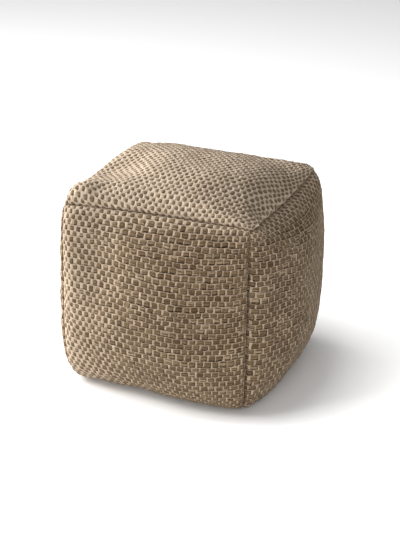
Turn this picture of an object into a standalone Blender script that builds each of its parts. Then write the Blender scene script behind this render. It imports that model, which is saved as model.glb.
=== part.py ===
"""A cube pouf stool: a soft woven cover of six panels, sewn together round its filling.

The cover is sewn shut, so the pouf is one closed, filled solid. Each panel is crowned, each seam is a
sewn channel drawn in below the panels beside it, and the sides curve in under the pouf to a flat base.
It stands as a soft thing does: the right-hand seam of the top sags, the crown leans, and a few broad
swells and hollows leave no panel quite like another.

Metres, +Z up. The origin is on the floor, under the middle of the pouf. The front panel faces -Y and
the right panel faces +X. A place on a panel is given by two numbers from -1 to 1, from seam to seam.
"""

from typing import NamedTuple

import bmesh
import bpy
import numpy as np

# Driving dimensions
SIDE = 0.371  # between opposite upright seams, at the top corners
TOP_SEAM_HEIGHT = 0.3635  # of the top panel's corners, before each one's own rise
BASE_SEAM_HEIGHT = 0.005
BASE_INSET = 0.060  # about how far the base's seams lie inside the upright ones
TOP_CROWN = 0.0375

# How the crowns and the curve under the pouf are shaped
TOP_FULLNESS = 2.2  # 2 is an arc, and more is flatter with fuller edges
SIDE_FULLNESS = 1.72
FOOT_CROWN = 0.09  # the share of the side crown that is left at the base seam
FOOT_SHARE = 0.90  # of a side's height, over which that share grows to the whole
MIDDLE_START = 0.38  # the share of a side's height where its lower curve begins to pass into its upper one
MIDDLE_END = 0.62  # and where it has
UNDER_CURVE = 2.7  # in the middle of a side: a higher power curves in nearer the floor
CORNER_UNDER_CURVE = 5.4  # and at its upright seams
UNDER_LIFT = 2.27  # a higher power lies flatter on the floor before it rises
TOP_DRAW_REACH = 3.0  # a higher power keeps a top seam's draw nearer the top

# How the cloth comes down to a seam: a soft shoulder, and the channel itself
SHOULDER_DEPTH = 0.0088
SHOULDER_REACH = 0.0093
CHANNEL_DEPTH = 0.0035
CHANNEL_REACH = 0.005
CORNER_REACH = 0.023  # how far from the top panel's corners they are blunted
CORNER_EASE = 54.0  # the share by which the seams draw in less there, for each metre of blunting
BASE_MARGIN = 0.012  # the base's edge, from its seam to where it lies flat on the floor
BASE_ROLL = 10.0  # a higher number rolls over to the floor in less of the side's height

# The grid: squares across a panel, closer together towards its seams
PANEL_SQUARES = 28
FLAT_ANGLE = 0.01  # radians: faces of the base this close to level are made one

# The cover's cloth
CLOTH_COLOUR = (0.23, 0.17, 0.11, 1.0)
CLOTH_ROUGHNESS = 0.92

HALF = SIDE / 2


class Swell(NamedTuple):
    """A broad swell of one panel, or a hollow where its rise is below nothing."""

    panel: str
    along: float
    up: float
    reach_along: float
    reach_up: float
    rise: float


class Side(NamedTuple):
    """An upright panel: the way it faces, the way its places run, and its own softness."""

    facing: tuple
    along: tuple
    crown: float
    upper: float  # how full the crown stays from its middle up to the top seam
    inset: float  # how far it curves in under the pouf
    corner: float  # how far each way the top corner at its far end is blunted
    rise: float  # how much higher than the others that corner stands
    draw: float  # how far the middle of its top seam lies in towards the pouf's middle
    lift: float  # how far the middle of its top seam lies up, or down where it sags


SIDES = {
    "front": Side((0.0, -1.0), (1.0, 0.0), 0.0400, 3.2, 0.087, 0.003, 0.0055, 0.0050, 0.0030),
    "right": Side((1.0, 0.0), (0.0, 1.0), 0.0455, 9.0, 0.053, 0.012, 0.0105, 0.0025, -0.0155),
    "back": Side((0.0, 1.0), (-1.0, 0.0), 0.0410, 6.0, 0.056, 0.008, -0.0025, -0.0080, -0.0185),
    "left": Side((-1.0, 0.0), (0.0, -1.0), 0.0370, 3.2, 0.068, 0.004, -0.0030, 0.0080, 0.0205),
}

SWELLS = (
    Swell("top", -0.83, -0.30, 0.38, 0.30, -0.019),
    Swell("top", -0.90, -0.90, 0.32, 0.16, 0.029),
    Swell("top", -0.43, -0.83, 0.21, 0.22, 0.004),
    Swell("top", 0.30, -0.53, 0.41, 0.37, 0.008),
    Swell("top", 0.92, 0.52, 0.22, 0.95, -0.0105),
    Swell("top", 0.74, -0.09, 0.33, 0.52, 0.0115),
    Swell("front", -0.48, 0.74, 0.34, 0.24, -0.013),
    Swell("front", 0.35, 0.90, 0.45, 0.15, 0.004),
    Swell("front", -0.10, -0.35, 0.60, 0.40, 0.003),
    Swell("front", -0.45, -0.90, 0.40, 0.20, -0.0165),
    Swell("front", 0.80, -0.80, 0.30, 0.25, 0.007),
    Swell("front", 0.40, -0.10, 0.40, 0.70, 0.0125),
    Swell("right", -0.50, -0.10, 0.35, 0.70, 0.006),
    Swell("back", 0.25, 0.30, 0.55, 0.45, -0.005),
    Swell("back", -0.45, -0.30, 0.45, 0.40, 0.004),
    Swell("left", 0.30, 0.55, 0.45, 0.30, -0.005),
    Swell("left", -0.30, -0.20, 0.55, 0.45, 0.003),
)


def arch(place, fullness):
    """Return a crown's share of its height: 1 in the middle of a panel and 0 at its seams."""
    return 1.0 - np.abs(place) ** fullness


def fade(distance, reach):
    """Return how much of a seam's pull is left this far from it."""
    return np.exp(-distance / reach)


def beside(side, step):
    """Return the side that comes this many steps after another, going round the pouf."""
    names = list(SIDES)
    return SIDES[names[(names.index(side) + step) % len(names)]]


def blunting(side, a):
    """Return how far the corner nearer to each place along a side is blunted."""
    return np.where(a > 0.0, SIDES[side].corner, beside(side, -1).corner)


def inset_beside(side, a):
    """Return how far the panel beyond the nearer upright seam curves in under the pouf."""
    return np.where(a > 0.0, beside(side, 1).inset, beside(side, -1).inset)


def seam_pull(from_a, from_b, blunted):
    """Return how far two seams draw the cloth in: below the panel, and back from each seam."""
    corner = blunted * np.exp(-(from_a**2 + from_b**2) / CORNER_REACH**2)
    hold = 1.0 - CORNER_EASE * corner
    below, back_a, back_b = corner, corner, corner
    for depth, reach in ((SHOULDER_DEPTH, SHOULDER_REACH), (CHANNEL_DEPTH, CHANNEL_REACH)):
        near_a, near_b = fade(from_a, reach), fade(from_b, reach)
        below = below + hold * depth * (1.0 - (1.0 - near_a) * (1.0 - near_b))
        back_a = back_a + hold * depth * near_a
        back_b = back_b + hold * depth * near_b
    return below, back_a, back_b


def swelling(panel, a, b):
    """Return how far the panel's swells and hollows raise it, which is nothing at its seams."""
    rise = np.zeros_like(a)
    for swell in SWELLS:
        if swell.panel == panel:
            off_along = (a - swell.along) / swell.reach_along
            off_up = (b - swell.up) / swell.reach_up
            rise = rise + swell.rise * np.exp(-(off_along**2) - off_up**2)
    return rise * arch(a, 8.0) * arch(b, 8.0)


def top_seam(side, a):
    """Return the points of a top seam at places a, before the seam's own pull."""
    seam = SIDES[side]
    facing, along = np.array(seam.facing), np.array(seam.along)
    bow = 1.0 - a**2
    flat = (HALF - seam.draw * bow)[..., None] * facing + (HALF * a)[..., None] * along
    rise = beside(side, -1).rise * (1.0 - a) / 2.0 + seam.rise * (1.0 + a) / 2.0
    height = TOP_SEAM_HEIGHT + rise + seam.lift * bow
    return np.concatenate([flat, height[..., None]], axis=-1)


def side_points(side, a, b):
    """Return the points of an upright panel at places a along it and b up it."""
    panel = SIDES[side]
    facing, along = np.array(panel.facing), np.array(panel.along)
    share = (b + 1.0) / 2.0
    seam = top_seam(side, a)
    under_curve = CORNER_UNDER_CURVE + (UNDER_CURVE - CORNER_UNDER_CURVE) * arch(a, 2.0)
    tuck = (1.0 - share) ** under_curve
    draw = (HALF - seam[..., :2] @ facing) * share**TOP_DRAW_REACH
    foot = FOOT_CROWN + (1.0 - FOOT_CROWN) * arch(1.0 - np.clip(share / FOOT_SHARE, 0.0, 1.0), 2.0)
    upper = arch(np.clip(b, 0.0, 1.0), panel.upper)
    passed = np.clip((share - MIDDLE_START) / (MIDDLE_END - MIDDLE_START), 0.0, 1.0)
    above_foot = passed**2 * (3.0 - 2.0 * passed)
    crown = panel.crown * arch(a, SIDE_FULLNESS) * (foot + (upper - foot) * above_foot)
    from_upright = (1.0 - np.abs(a)) * HALF
    from_top = (1.0 - share) * (TOP_SEAM_HEIGHT - BASE_SEAM_HEIGHT)
    below, back_upright, back_top = seam_pull(from_upright, from_top, blunting(side, a))
    out = HALF - draw - panel.inset * tuck + crown - below + swelling(side, a, b)
    aside = a * (HALF - inset_beside(side, a) * tuck) - np.sign(a) * back_upright
    roll = BASE_SEAM_HEIGHT * np.exp(-BASE_ROLL * (1.0 - tuck))
    height = roll + seam[..., 2] * share**UNDER_LIFT - back_top
    flat = out[..., None] * facing + aside[..., None] * along
    return np.concatenate([flat, height[..., None]], axis=-1)


def span(front, right, back, left, a, b):
    """Return the sheet that spans four edges, each given by a function of its own places."""
    ends = np.ones_like(a)
    share_a, share_b = ((a + 1.0) / 2.0)[..., None], ((b + 1.0) / 2.0)[..., None]
    across = (1.0 - share_b) * front(a) + share_b * back(-a)
    down = (1.0 - share_a) * left(-b) + share_a * right(b)
    near = (1.0 - share_a) * front(-ends) + share_a * front(ends)
    far = (1.0 - share_a) * back(ends) + share_a * back(-ends)
    return across + down - (1.0 - share_b) * near - share_b * far


def top_points(a, b):
    """Return the points of the top panel, with a running to the right and b to the back."""
    edges = [lambda at, side=side: top_seam(side, at) for side in SIDES]
    points = span(*edges, a, b)
    blunted = np.where(b > 0.0, blunting("back", -a), blunting("front", a))
    below, back_a, back_b = seam_pull((1.0 - np.abs(a)) * HALF, (1.0 - np.abs(b)) * HALF, blunted)
    points[..., 0] -= np.sign(a) * back_a
    points[..., 1] -= np.sign(b) * back_b
    crown = TOP_CROWN * arch(a, TOP_FULLNESS) * arch(b, TOP_FULLNESS)
    points[..., 2] += crown - below + swelling("top", a, b)
    return points


def base_points(a, b):
    """Return the points of the base panel, which lies flat on the floor inside its margin."""
    edges = [lambda at, side=side: side_points(side, at, -np.ones_like(at)) for side in SIDES]
    points = span(*edges, a, b)
    from_seam = (1.0 - np.maximum(np.abs(a), np.abs(b))) * (HALF - BASE_INSET)
    points[..., 2] *= np.clip(1.0 - from_seam / BASE_MARGIN, 0.0, 1.0) ** 2
    return points


def pouf_points(cube):
    """Return where the points of a cube from -1 to 1 lie on the pouf, panel by panel."""
    x, y, z = cube.T
    placed = np.empty_like(cube)
    for panel, chosen, a, b in (
        ("left", x <= -1.0, -y, z),
        ("right", x >= 1.0, y, z),
        ("back", y >= 1.0, -x, z),
        ("front", y <= -1.0, x, z),
    ):
        placed[chosen] = side_points(panel, a[chosen], b[chosen])
    base, top = z <= -1.0, z >= 1.0
    placed[base] = base_points(x[base], y[base])
    placed[top] = top_points(x[top], y[top])
    return placed


def seam_spacing(place):
    """Return even places moved towards the seams, so that the squares there are the smallest."""
    return 1.5 * place - 0.5 * place**3


def centred(points):
    """Return the points with their extent centred over the origin and their lowest on the floor."""
    low, high = points.min(axis=0), points.max(axis=0)
    return points - np.array([(low[0] + high[0]) / 2.0, (low[1] + high[1]) / 2.0, low[2]])


def pouf_mesh():
    """Return the pouf's closed mesh, shaped from a cube whose faces are cut into squares."""
    solid = bmesh.new()
    bmesh.ops.create_cube(solid, size=2.0)
    cuts = PANEL_SQUARES - 1
    bmesh.ops.subdivide_edges(solid, edges=solid.edges[:], cuts=cuts, use_grid_fill=True)
    even = np.array([vertex.co for vertex in solid.verts], dtype=float)
    even = np.round(even * PANEL_SQUARES) / PANEL_SQUARES
    points = centred(pouf_points(seam_spacing(even)))
    for vertex, point in zip(solid.verts, points):
        vertex.co = point
    flat = [face for face in solid.faces if max(vertex.co.z for vertex in face.verts) < 1e-6]
    inside = {edge for face in flat for edge in face.edges}
    corners = {vertex for face in flat for vertex in face.verts}
    bmesh.ops.dissolve_limit(
        solid, angle_limit=FLAT_ANGLE, verts=list(corners), edges=list(inside), use_dissolve_boundaries=False
    )
    mesh = bpy.data.meshes.new("pouf_body")
    solid.to_mesh(mesh)
    solid.free()
    mesh.shade_smooth()
    return mesh


def cloth_material():
    """Return the material of the woven cover."""
    material = bpy.data.materials.new("woven_cover")
    material.use_nodes = True
    shader = material.node_tree.nodes["Principled BSDF"]
    shader.inputs["Base Color"].default_value = CLOTH_COLOUR
    shader.inputs["Roughness"].default_value = CLOTH_ROUGHNESS
    shader.inputs["Metallic"].default_value = 0.0
    return material


def main():
    """Clear the scene and build the pouf."""
    for thing in list(bpy.data.objects):
        bpy.data.objects.remove(thing, do_unlink=True)
    mesh = pouf_mesh()
    mesh.materials.append(cloth_material())
    pouf = bpy.data.objects.new("pouf_body", mesh)
    bpy.context.scene.collection.objects.link(pouf)


if __name__ == "__main__":
    main()
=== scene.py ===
"""Looks of a cube pouf stool: a sewn cover of six woven panels round a soft filling.

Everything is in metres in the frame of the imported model, +Z up, with the floor at zero. The front panel
faces -Y and the right panel faces +X. A place on a panel is two numbers from -1 to 1, from seam to seam.
"""

import logging
import math
from dataclasses import dataclass, field
from enum import Enum
from functools import partialmethod

import bpy
import numpy as np
from bpy.types import Material, Node, NodeSocket, NodeTree, Object
from mathutils import Matrix, Vector


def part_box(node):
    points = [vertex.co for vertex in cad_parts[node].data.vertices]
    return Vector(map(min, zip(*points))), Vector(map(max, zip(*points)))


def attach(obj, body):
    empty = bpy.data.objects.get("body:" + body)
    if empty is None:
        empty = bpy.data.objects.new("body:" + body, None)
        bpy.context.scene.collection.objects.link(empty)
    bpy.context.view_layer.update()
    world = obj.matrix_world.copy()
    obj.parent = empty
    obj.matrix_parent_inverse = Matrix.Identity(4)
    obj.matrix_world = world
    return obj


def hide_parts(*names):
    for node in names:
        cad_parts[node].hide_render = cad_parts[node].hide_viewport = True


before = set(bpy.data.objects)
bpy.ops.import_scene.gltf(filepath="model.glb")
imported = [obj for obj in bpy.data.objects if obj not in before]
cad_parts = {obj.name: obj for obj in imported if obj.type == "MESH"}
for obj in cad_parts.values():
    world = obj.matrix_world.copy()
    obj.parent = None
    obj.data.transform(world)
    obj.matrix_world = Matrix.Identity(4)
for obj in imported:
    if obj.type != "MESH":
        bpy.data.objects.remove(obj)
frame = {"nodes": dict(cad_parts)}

log = logging.getLogger("pouf")

Array = np.ndarray
Place = tuple[float, float, float]
Pair = tuple[float, float]
Curve = tuple[Pair, ...]  # places along a panel or up it, each with its value


class PanelName(Enum):
    """The six cut pieces of the cover."""

    FRONT = "front"
    RIGHT = "right"
    BACK = "back"
    LEFT = "left"
    TOP = "top"
    BASE = "base"


@dataclass(frozen=True)
class Swell:
    """A broad swell of one panel, or a dip where its rise is below nothing."""

    panel: PanelName
    along: float
    up: float
    reach_along: float
    reach_up: float
    rise: float


@dataclass(frozen=True)
class Side:
    """An upright panel: how it faces, its crown, and how the middle of its top seam sits."""

    facing: Pair
    along: Pair
    crown: float
    corner: float  # how far each way the top corner at its far end is blunted
    seam_draw: float
    seam_lift: float
    rise: float  # how much higher that corner stands
    inset: float  # how far it curves in under the pouf
    upper: float  # how full its crown stays up to the top seam


SIDES = {
    PanelName.FRONT: Side(
        (0.0, -1.0), (1.0, 0.0), crown=0.0400, corner=0.003, seam_draw=0.0050, seam_lift=0.0030,
        rise=0.0055, inset=0.087, upper=3.2,
    ),
    PanelName.RIGHT: Side(
        (1.0, 0.0), (0.0, 1.0), crown=0.0455, corner=0.012, seam_draw=0.0025, seam_lift=-0.0155,
        rise=0.0105, inset=0.053, upper=9.0,
    ),
    PanelName.BACK: Side(
        (0.0, 1.0), (-1.0, 0.0), crown=0.0410, corner=0.008, seam_draw=-0.0080, seam_lift=-0.0185,
        rise=-0.0025, inset=0.056, upper=6.0,
    ),
    PanelName.LEFT: Side(
        (-1.0, 0.0), (0.0, -1.0), crown=0.0370, corner=0.004, seam_draw=0.0080, seam_lift=0.0205,
        rise=-0.0030, inset=0.068, upper=3.2,
    ),
}

SWELLS = (
    Swell(PanelName.TOP, -0.83, -0.30, 0.38, 0.30, -0.019),
    Swell(PanelName.TOP, -0.90, -0.90, 0.32, 0.16, 0.029),
    Swell(PanelName.TOP, -0.43, -0.83, 0.21, 0.22, 0.004),
    Swell(PanelName.TOP, 0.30, -0.53, 0.41, 0.37, 0.008),
    Swell(PanelName.TOP, 0.92, 0.52, 0.22, 0.95, -0.0105),
    Swell(PanelName.TOP, 0.74, -0.09, 0.33, 0.52, 0.0115),
    Swell(PanelName.FRONT, -0.48, 0.74, 0.34, 0.24, -0.013),
    Swell(PanelName.FRONT, 0.35, 0.90, 0.45, 0.15, 0.004),
    Swell(PanelName.FRONT, -0.10, -0.35, 0.60, 0.40, 0.003),
    Swell(PanelName.FRONT, -0.45, -0.90, 0.40, 0.20, -0.0165),
    Swell(PanelName.FRONT, 0.80, -0.80, 0.30, 0.25, 0.007),
    Swell(PanelName.FRONT, 0.40, -0.10, 0.40, 0.70, 0.0125),
    Swell(PanelName.RIGHT, -0.50, -0.10, 0.35, 0.70, 0.006),
    Swell(PanelName.BACK, 0.25, 0.30, 0.55, 0.45, -0.005),
    Swell(PanelName.BACK, -0.45, -0.30, 0.45, 0.40, 0.004),
    Swell(PanelName.LEFT, 0.30, 0.55, 0.45, 0.30, -0.005),
    Swell(PanelName.LEFT, -0.30, -0.20, 0.55, 0.45, 0.003),
)


@dataclass(frozen=True)
class Pucker:
    """A small place, in the pouf's own frame, where the sewing pushes all the cloth aside."""

    place: Place
    reach: float
    push: Place


PUCKERS = (
    Pucker((0.178, -0.150, 0.362), 0.020, (0.010, 0.000, 0.002)),
    Pucker((0.150, -0.178, 0.366), 0.014, (0.000, 0.002, 0.003)),
)


INSIDE = 8.0  # the fullness of an arch that is nothing at a seam and soon whole inside it
NARROW = 30.0  # the same, and whole within a row or two of yarn


def arch(place: Array, fullness: float) -> Array:
    """Return a crown's share of its height: 1 in the middle of a panel and 0 at its seams."""
    return 1.0 - np.abs(place) ** fullness


@dataclass(frozen=True)
class PoufForm:
    """The filled shape of the pouf: where each place of each panel lies."""

    side: float = 0.371
    top_seam_height: float = 0.3635
    base_seam_height: float = 0.005
    base_inset: float = 0.060
    top_crown: float = 0.0375
    top_fullness: float = 2.2
    side_fullness: float = 1.72
    foot_crown: float = 0.09
    foot_share: float = 0.9
    middle: Pair = (0.38, 0.62)  # where up the side its lower curve passes into its upper one, in shares
    under_curve: float = 2.7
    corner_under_curve: float = 5.4
    under_lift: float = 2.27
    top_draw_reach: float = 3.0
    corner_reach: float = 0.023
    corner_ease: float = 54.0  # how much less a seam draws in at a corner, for each metre that it is blunted
    base_margin: float = 0.012
    base_roll: float = 10.0  # a higher number rolls over to the floor in less of the side's height
    # the soft shoulder, the channel and the tuck of a seam, each with its depth and its reach
    pulls: tuple[Pair, ...] = ((0.0088, 0.0093), (0.0035, 0.005), (0.0045, 0.0016))

    @property
    def half(self) -> float:
        """Half the distance between opposite upright seams."""
        return self.side / 2

    def neighbours(self, panel: PanelName) -> tuple[PanelName, PanelName]:
        """Return the sides before and after a side, round the pouf."""
        names = list(SIDES)
        at = names.index(panel)
        return names[at - 1], names[(at + 1) % len(names)]

    def blunting(self, panel: PanelName, a: Array) -> Array:
        """Return how far the corner nearer to each place along a side is blunted."""
        before, _ = self.neighbours(panel)
        return np.where(a > 0.0, SIDES[panel].corner, SIDES[before].corner)

    def corner_rise(self, panel: PanelName, a: Array) -> Array:
        """Return how much higher a top seam stands at places a than four level corners would set it."""
        before, _ = self.neighbours(panel)
        return SIDES[before].rise * (1.0 - a) / 2.0 + SIDES[panel].rise * (1.0 + a) / 2.0

    def inset_beside(self, panel: PanelName, a: Array) -> Array:
        """Return how far the panel beyond the nearer upright seam curves in under the pouf."""
        before, after = self.neighbours(panel)
        return np.where(a > 0.0, SIDES[after].inset, SIDES[before].inset)

    def seam_pull(self, from_a: Array, from_b: Array, blunted: Array) -> tuple[Array, Array, Array]:
        """Return how far two seams draw the cloth in.

        Args:
            from_a: Distance from the seam at the end of a.
            from_b: Distance from the seam at the end of b.
            blunted: How far the nearest corner is blunted.

        Returns:
            How far below the panel, and how far back from each seam.
        """
        near = np.exp(-(from_a**2 + from_b**2) / self.corner_reach**2)
        hold = 1.0 - self.corner_ease * blunted * near
        corner = blunted * near
        below, back_a, back_b = corner, corner, corner
        for depth, reach in self.pulls:
            near_a, near_b = np.exp(-from_a / reach), np.exp(-from_b / reach)
            below = below + hold * depth * (1.0 - (1.0 - near_a) * (1.0 - near_b))
            back_a = back_a + hold * depth * near_a
            back_b = back_b + hold * depth * near_b
        return below, back_a, back_b

    def swelling(self, panel: PanelName, a: Array, b: Array) -> Array:
        """Add up the panel's swells and hollows.

        Args:
            panel: The panel.
            a: Places along it.
            b: Places up it.

        Returns:
            How far each place is raised.
        """
        rise = np.zeros_like(a)
        for swell in SWELLS:
            if swell.panel is panel:
                off_along = (a - swell.along) / swell.reach_along
                off_up = (b - swell.up) / swell.reach_up
                rise = rise + swell.rise * np.exp(-(off_along**2) - off_up**2)
        return rise * arch(a, INSIDE) * arch(b, INSIDE)

    def placed(self, panel: PanelName, out: Array, aside: Array, height: Array) -> Array:
        """Place points by their distances.

        Args:
            panel: The side.
            out: How far out towards it.
            aside: How far along it.
            height: How far up.

        Returns:
            The points.
        """
        facing, along = np.array(SIDES[panel].facing), np.array(SIDES[panel].along)
        flat = out[..., None] * facing + aside[..., None] * along
        return np.concatenate([flat, height[..., None]], axis=-1)

    def top_seam(self, panel: PanelName, a: Array) -> Array:
        """Lay a top seam, before the seam's own pull.

        Args:
            panel: The side below the seam.
            a: Places along it.

        Returns:
            The seam's points.
        """
        side = SIDES[panel]
        bow = 1.0 - a**2
        height = self.top_seam_height + self.corner_rise(panel, a) + side.seam_lift * bow
        return self.placed(panel, self.half - side.seam_draw * bow, self.half * a, height)

    def side_points(self, panel: PanelName, a: Array, b: Array) -> Array:
        """Lay an upright panel.

        Args:
            panel: The side.
            a: Places along it.
            b: Places up it.

        Returns:
            The side's points.
        """
        side = SIDES[panel]
        share = (b + 1.0) / 2.0
        seam = self.top_seam(panel, a)
        curve = self.corner_under_curve + (self.under_curve - self.corner_under_curve) * arch(a, 2.0)
        tuck = (1.0 - share) ** curve
        draw = (self.half - seam[..., :2] @ np.array(side.facing)) * share**self.top_draw_reach
        up_foot = 1.0 - np.clip(share / self.foot_share, 0.0, 1.0)
        foot = self.foot_crown + (1.0 - self.foot_crown) * arch(up_foot, 2.0)
        upper = arch(np.clip(b, 0.0, 1.0), side.upper)
        start, end = self.middle
        passed = np.clip((share - start) / (end - start), 0.0, 1.0)
        above_foot = passed**2 * (3.0 - 2.0 * passed)
        crown = side.crown * arch(a, self.side_fullness) * (foot + (upper - foot) * above_foot)
        from_upright = (1.0 - np.abs(a)) * self.half
        from_top = (1.0 - share) * (self.top_seam_height - self.base_seam_height)
        blunted = self.blunting(panel, a)
        below, back_upright, back_top = self.seam_pull(from_upright, from_top, blunted)
        out = self.half - draw - side.inset * tuck + crown - below + self.swelling(panel, a, b)
        aside = a * (self.half - self.inset_beside(panel, a) * tuck) - np.sign(a) * back_upright
        roll = self.base_seam_height * np.exp(-self.base_roll * (1.0 - tuck))
        height = roll + seam[..., 2] * share**self.under_lift - back_top
        return self.placed(panel, out, aside, height)

    def span(self, edges: list, a: Array, b: Array) -> Array:
        """Return the sheet that spans four edges.

        Args:
            edges: The front, right, back and left edges, each a function of its own places.
            a: Places from left to right.
            b: Places from front to back.

        Returns:
            The sheet's points.
        """
        front, right, back, left = edges
        ends = np.ones_like(a)
        share_a, share_b = ((a + 1.0) / 2.0)[..., None], ((b + 1.0) / 2.0)[..., None]
        across = (1.0 - share_b) * front(a) + share_b * back(-a)
        down = (1.0 - share_a) * left(-b) + share_a * right(b)
        near = (1.0 - share_a) * front(-ends) + share_a * front(ends)
        far = (1.0 - share_a) * back(ends) + share_a * back(-ends)
        return across + down - (1.0 - share_b) * near - share_b * far

    def top_points(self, a: Array, b: Array) -> Array:
        """Lay the top panel.

        Args:
            a: Places from left to right.
            b: Places from front to back.

        Returns:
            The panel's points.
        """
        points = self.span([lambda at, side=side: self.top_seam(side, at) for side in SIDES], a, b)
        from_a, from_b = (1.0 - np.abs(a)) * self.half, (1.0 - np.abs(b)) * self.half
        blunted = np.where(b > 0.0, self.blunting(PanelName.BACK, -a), self.blunting(PanelName.FRONT, a))
        below, back_a, back_b = self.seam_pull(from_a, from_b, blunted)
        points[..., 0] -= np.sign(a) * back_a
        points[..., 1] -= np.sign(b) * back_b
        crown = self.top_crown * arch(a, self.top_fullness) * arch(b, self.top_fullness)
        points[..., 2] += crown - below + self.swelling(PanelName.TOP, a, b)
        return points

    def base_points(self, a: Array, b: Array) -> Array:
        """Lay the base panel, which is flat inside its margin.

        Args:
            a: Places from left to right.
            b: Places from front to back.

        Returns:
            The panel's points.
        """
        edges = [lambda at, side=side: self.side_points(side, at, -np.ones_like(at)) for side in SIDES]
        points = self.span(edges, a, b)
        from_seam = (1.0 - np.maximum(np.abs(a), np.abs(b))) * (self.half - self.base_inset)
        points[..., 2] *= np.clip(1.0 - from_seam / self.base_margin, 0.0, 1.0) ** 2
        return points

    def raw_points(self, panel: PanelName, a: Array, b: Array) -> Array:
        """Lay any panel, before the pouf is centred over the origin.

        Args:
            panel: The panel.
            a: Places along it.
            b: Places up it.

        Returns:
            The panel's points.
        """
        if panel is PanelName.TOP:
            return self.top_points(a, b)
        if panel is PanelName.BASE:
            return self.base_points(a, b)
        return self.side_points(panel, a, b)


class Form:
    """The pouf's shape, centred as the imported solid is."""

    def __init__(self, shape: PoufForm, middle: Vector) -> None:
        """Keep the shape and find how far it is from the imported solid's middle.

        Args:
            shape: The pouf's shape.
            middle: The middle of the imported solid's box, at its lowest height.
        """
        self.shape = shape
        samples = 121
        a, b = np.meshgrid(*[np.linspace(-1.0, 1.0, samples)] * 2)
        every = np.concatenate([shape.raw_points(panel, a, b).reshape(-1, 3) for panel in PanelName])
        low, high = every.min(axis=0), every.max(axis=0)
        self.move = np.array(middle) - np.array([(low[0] + high[0]) / 2, (low[1] + high[1]) / 2, low[2]])
        self.folds: dict[PanelName, Array] = {}

    def points(self, panel: PanelName, a: Array, b: Array) -> Array:
        """Lay a panel, with its puckers and folds.

        Args:
            panel: The panel.
            a: Places along it.
            b: Places up it.

        Returns:
            The panel's points.
        """
        points = self.shape.raw_points(panel, a, b)
        for pucker in PUCKERS:
            off = np.sum((points - np.array(pucker.place)) ** 2, axis=-1)
            points = points + np.exp(-off / pucker.reach**2)[..., None] * np.array(pucker.push)
        if panel in self.folds:
            points = points + self.fold(panel, a, b)
        return points + self.move

    def fold(self, panel: PanelName, a: Array, b: Array) -> Array:
        """Find how far the filling's folds move a panel.

        Args:
            panel: The panel.
            a: Places along it.
            b: Places up it.

        Returns:
            How far each place is moved, which is nothing at the seams.
        """
        folds = self.folds[panel]
        along, up = (spline_weights((place.ravel() + 1.0) / 2.0, len(folds)) for place in (a, b))
        moved = np.einsum("pj,pjc->pc", up, np.tensordot(along, folds, 1)).reshape(*a.shape, 3)
        return moved * (arch(a, NARROW) * arch(b, NARROW))[..., None]

    def normals(self, panel: PanelName, a: Array, b: Array) -> Array:
        """Find which way a panel faces.

        Args:
            panel: The panel.
            a: Places along it.
            b: Places up it.

        Returns:
            A direction of length 1, outwards, at each place.
        """
        step = 0.004
        inner_a, inner_b = np.clip(a, -1 + step, 1 - step), np.clip(b, -1 + step, 1 - step)
        run_a = self.points(panel, inner_a + step, inner_b) - self.points(panel, inner_a - step, inner_b)
        run_b = self.points(panel, inner_a, inner_b + step) - self.points(panel, inner_a, inner_b - step)
        facing = np.cross(run_a, run_b)
        if panel is PanelName.BASE:
            facing = -facing
        return facing / np.linalg.norm(facing, axis=-1, keepdims=True)


def spline_weights(fine: Array, knots: int) -> Array:
    """Return the weights that draw a smooth curve through evenly spaced knots.

    Args:
        fine: Where the curve is wanted, from 0 to 1.
        knots: How many knots there are.

    Returns:
        One row of weights for each place.
    """
    at = np.clip(fine, 0.0, 1.0) * (knots - 1)
    start = np.clip(np.floor(at).astype(int), 0, knots - 2)
    t = at - start
    rows = np.arange(len(at))
    weights = np.zeros((len(at), knots))
    blend = (
        (1 - t) ** 3 / 6,
        (3 * t**3 - 6 * t**2 + 4) / 6,
        (-3 * t**3 + 3 * t**2 + 3 * t + 1) / 6,
        t**3 / 6,
    )
    for offset, share in zip((-1, 0, 1, 2), blend):
        np.add.at(weights, (rows, np.clip(start + offset, 0, knots - 1)), share)
    return weights


def waver(rng: np.random.Generator, shape: tuple[int, int], knots: tuple[int, int]) -> Array:
    """Return a smooth random field of about -1 to 1.

    Args:
        rng: The source of its values.
        shape: How many rows and columns are wanted.
        knots: How many random values lie down and across it.

    Returns:
        The field.
    """
    down, across = (spline_weights(np.linspace(0, 1, fine), coarse) for fine, coarse in zip(shape, knots))
    most = 1.6  # the curve evens the knots out, so they range past 1
    return down @ rng.uniform(-most, most, knots) @ across.T


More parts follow.
